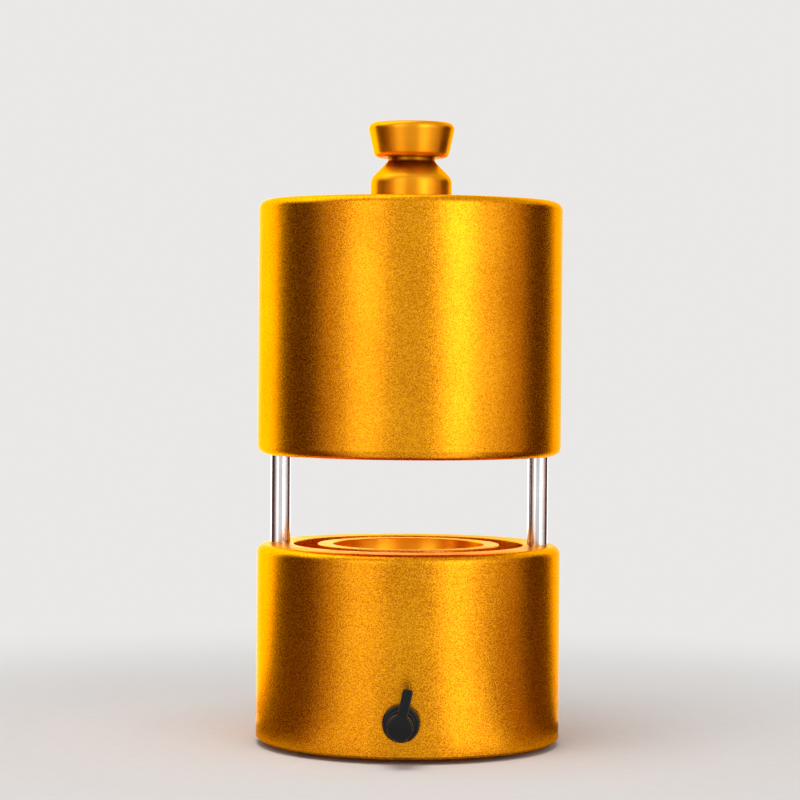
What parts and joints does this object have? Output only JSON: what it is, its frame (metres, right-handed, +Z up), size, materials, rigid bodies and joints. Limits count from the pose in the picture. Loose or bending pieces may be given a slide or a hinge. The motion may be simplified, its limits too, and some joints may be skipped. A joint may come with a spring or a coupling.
{
  "type": "ice ball mold",
  "caption": "Round aluminium ice ball mold: a heavy upper half with a turned knob slides on guide rods over a lower half with a gutter, a water tank and a small front tap.",
  "frame": {"origin": "centre of the foot ring's underside, on the mold's axis, where the mold stands", "axes": "+Z up along the mold's axis, -Y towards the tap, the guide rods on the X axis"},
  "size_m": [0.12, 0.1342, 0.2455],
  "materials": {
    "gold_blasted": "bead-blasted, gold anodised",
    "gold_satin": "fine turned, gold anodised",
    "rod_steel": "polished",
    "screw_steel": "plain",
    "bronze": "sintered",
    "black_plastic": "semi-gloss moulded",
    "black_rubber": "matt"
  },
  "bodies": {
    "lower_half": {"lower_mold": "gold_blasted", "guide_rod_left": "rod_steel", "guide_rod_right": "rod_steel", "rod_screws": "screw_steel", "base_plate": "gold_satin", "base_seal": "black_rubber", "base_screws": "screw_steel", "foot_ring": "black_rubber", "tap_body": "black_plastic", "tap_washer": "black_rubber"},
    "upper_half": {"upper_mold": "gold_blasted", "guide_bush_left": "bronze", "guide_bush_right": "bronze", "rod_wiper_left": "black_rubber", "rod_wiper_right": "black_rubber", "knob": "gold_satin", "knob_stud": "screw_steel"},
    "tap_key": {"tap_handle": "black_plastic", "tap_seals": "black_rubber", "tap_clip": "screw_steel"}
  },
  "joints": [
    {"name": "press_slide", "type": "slide", "parent": "lower_half", "child": "upper_half", "axis": [0, 0, 1], "range_m": [-0.0355, 0.045]},
    {"name": "tap_turn", "type": "hinge", "parent": "lower_half", "child": "tap_key", "pos_m": [0, -0.0594, 0.016], "axis": [0, 1, 0], "range_deg": [-12, 78]}
  ]
}
